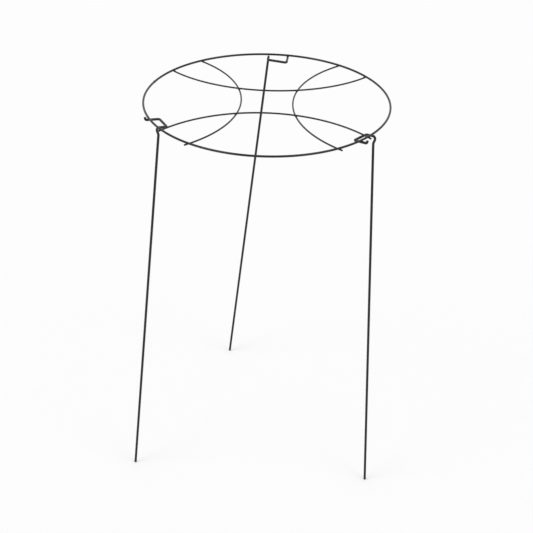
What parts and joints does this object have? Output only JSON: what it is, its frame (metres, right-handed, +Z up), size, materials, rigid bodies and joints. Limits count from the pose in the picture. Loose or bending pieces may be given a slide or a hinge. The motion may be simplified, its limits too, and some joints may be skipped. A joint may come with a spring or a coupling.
{
  "type": "plant support ring stake",
  "caption": "Wire plant support: a ring with crossing inner arcs that part the stems, held up by hooked wire legs that swing on the ring and push into the soil.",
  "frame": {"origin": "on the ground, under the middle of the outline of ring and feet seen from above", "axes": "+Z up, out of the ground; +X to the right and -Y towards the viewer of the picture; the ring lies flat, parallel to the ground"},
  "size_m": [0.4218, 0.4224, 0.6422],
  "materials": {
    "wire": "satin",
    "weld": "satin"
  },
  "bodies": {
    "top": {"ring": "wire", "ring_seam_weld": "weld", "left_arc": "wire", "right_arc": "wire", "front_arc": "wire", "back_arc": "wire", "left_arc_front_weld": "weld", "left_arc_back_weld": "weld", "right_arc_front_weld": "weld", "right_arc_back_weld": "weld", "front_arc_left_weld": "weld", "front_arc_right_weld": "weld", "back_arc_left_weld": "weld", "back_arc_right_weld": "weld", "front_left_crossing_weld": "weld", "front_right_crossing_weld": "weld", "back_left_crossing_weld": "weld", "back_right_crossing_weld": "weld"},
    "left_support": {"left_leg": "wire"},
    "right_support": {"right_leg": "wire"},
    "back_support": {"back_leg": "wire"}
  },
  "joints": [
    {"name": "left_hinge", "type": "hinge", "parent": "top", "child": "left_support", "pos_m": [-0.17123, -0.09441, 0.64], "axis": [-0.4263, 0.9046, 0], "range_deg": [-10, 80]},
    {"name": "right_hinge", "type": "hinge", "parent": "top", "child": "right_support", "pos_m": [0.16746, -0.13042, 0.64], "axis": [-0.607, -0.7947, 0], "range_deg": [0, 80]},
    {"name": "back_hinge", "type": "hinge", "parent": "top", "child": "back_support", "pos_m": [0.02678, 0.1891, 0.64], "axis": [0.996, -0.0889, 0], "range_deg": [-10, 80]}
  ]
}
